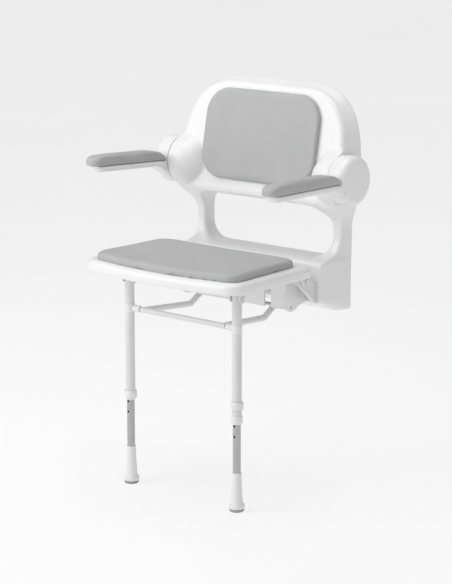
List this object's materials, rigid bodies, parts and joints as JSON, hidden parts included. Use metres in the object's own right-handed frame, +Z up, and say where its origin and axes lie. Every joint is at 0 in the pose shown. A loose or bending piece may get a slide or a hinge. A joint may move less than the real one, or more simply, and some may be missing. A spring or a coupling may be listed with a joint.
{
  "type": "wall-mounted folding shower chair",
  "caption": "Wall-hung shower chair with padded fold-up seat, padded back and lift-up arms, and two folding height-adjustable front legs.",
  "frame": {"origin": "centre of the four wall fixing holes, on the wall face", "axes": "+X to the right of a person facing the chair, +Y towards the wall, +Z up"},
  "size_m": [0.576, 0.457, 0.9468],
  "materials": {
    "white_moulding": "satin moulded",
    "grey_pad": "matt self-skinned foam",
    "white_tube": "white powder coat",
    "grey_tube": "satin anodised",
    "steel": "brushed",
    "white_nylon": "matt nylon",
    "grey_rubber": "matt"
  },
  "bodies": {
    "wall_unit": {"back_shell": "white_moulding", "back_pad": "grey_pad", "wall_frame": "steel", "carrier_left": "steel", "carrier_right": "steel", "hinge_bracket_left": "white_tube", "hinge_bracket_right": "white_tube", "bracket_bolts": "steel", "cover_screws": "steel", "seat_support": "white_moulding", "link_rod": "steel", "hinge_pin_left": "white_tube", "hinge_pin_right": "white_tube", "arm_pivot_left": "steel", "arm_pivot_right": "steel", "hub_nut_left": "steel", "hub_nut_right": "steel"},
    "seat": {"seat_shell": "white_moulding", "seat_pad": "grey_pad", "seat_lug_left": "white_tube", "seat_lug_right": "white_tube", "leg_bracket_left": "white_tube", "leg_bracket_right": "white_tube", "deck_screws": "steel"},
    "link": {"link_crossbar": "white_tube", "link_bar_left": "white_tube", "link_bar_right": "white_tube", "link_bush_left": "white_nylon", "link_bush_right": "white_nylon"},
    "leg_left": {"leg_tube_left": "white_tube", "leg_plug_left": "white_nylon", "leg_pin_left": "white_tube", "leg_clip_left": "white_nylon", "collar_left": "white_nylon"},
    "inner_left": {"inner_leg_left": "grey_tube", "foot_left": "white_nylon", "foot_pad_left": "grey_rubber"},
    "ring_left": {"lock_ring_left": "white_nylon"},
    "arm_left_unit": {"arm_left": "white_moulding", "arm_pad_left": "grey_pad", "hub_cap_left": "white_moulding", "arm_pad_screws_left": "steel"},
    "leg_right": {"leg_tube_right": "white_tube", "leg_plug_right": "white_nylon", "leg_pin_right": "white_tube", "leg_clip_right": "white_nylon", "collar_right": "white_nylon"},
    "inner_right": {"inner_leg_right": "grey_tube", "foot_right": "white_nylon", "foot_pad_right": "grey_rubber"},
    "ring_right": {"lock_ring_right": "white_nylon"},
    "arm_right_unit": {"arm_right": "white_moulding", "arm_pad_right": "grey_pad", "hub_cap_right": "white_moulding", "arm_pad_screws_right": "steel"}
  },
  "joints": [
    {"name": "seat_fold", "type": "hinge", "parent": "wall_unit", "child": "seat", "pos_m": [0, -0.148, -0.145], "axis": [-1, 0, 0], "range_deg": [0, 80]},
    {"name": "link_fold", "type": "hinge", "parent": "wall_unit", "child": "link", "pos_m": [0, -0.145, -0.214], "axis": [-1, 0, 0], "range_deg": [0, 80]},
    {"name": "leg_left_fold", "type": "hinge", "parent": "seat", "child": "leg_left", "pos_m": [-0.163, -0.344, -0.158], "axis": [-1, 0, 0], "range_deg": [-80, 0]},
    {"name": "leg_left_adjust", "type": "slide", "parent": "leg_left", "child": "inner_left", "axis": [0, 0, 1], "range_m": [-0.05, 0.1]},
    {"name": "ring_left_slide", "type": "slide", "parent": "leg_left", "child": "ring_left", "axis": [0, 0, 1], "range_m": [0, 0.03]},
    {"name": "arm_left_fold", "type": "hinge", "parent": "wall_unit", "child": "arm_left_unit", "pos_m": [-0.264, -0.064, 0.084], "axis": [-1, 0, 0], "range_deg": [0, 84]},
    {"name": "leg_right_fold", "type": "hinge", "parent": "seat", "child": "leg_right", "pos_m": [0.163, -0.344, -0.158], "axis": [-1, 0, 0], "range_deg": [-80, 0]},
    {"name": "leg_right_adjust", "type": "slide", "parent": "leg_right", "child": "inner_right", "axis": [0, 0, 1], "range_m": [-0.05, 0.1]},
    {"name": "ring_right_slide", "type": "slide", "parent": "leg_right", "child": "ring_right", "axis": [0, 0, 1], "range_m": [-0.03, 0]},
    {"name": "arm_right_fold", "type": "hinge", "parent": "wall_unit", "child": "arm_right_unit", "pos_m": [0.264, -0.064, 0.084], "axis": [-1, 0, 0], "range_deg": [0, 86]}
  ],
  "couplings": [
    {"joint": "link_fold", "follows": "seat_fold", "ratio": 1},
    {"joint": "leg_left_fold", "follows": "seat_fold", "ratio": -1},
    {"joint": "leg_right_fold", "follows": "seat_fold", "ratio": -1}
  ]
}
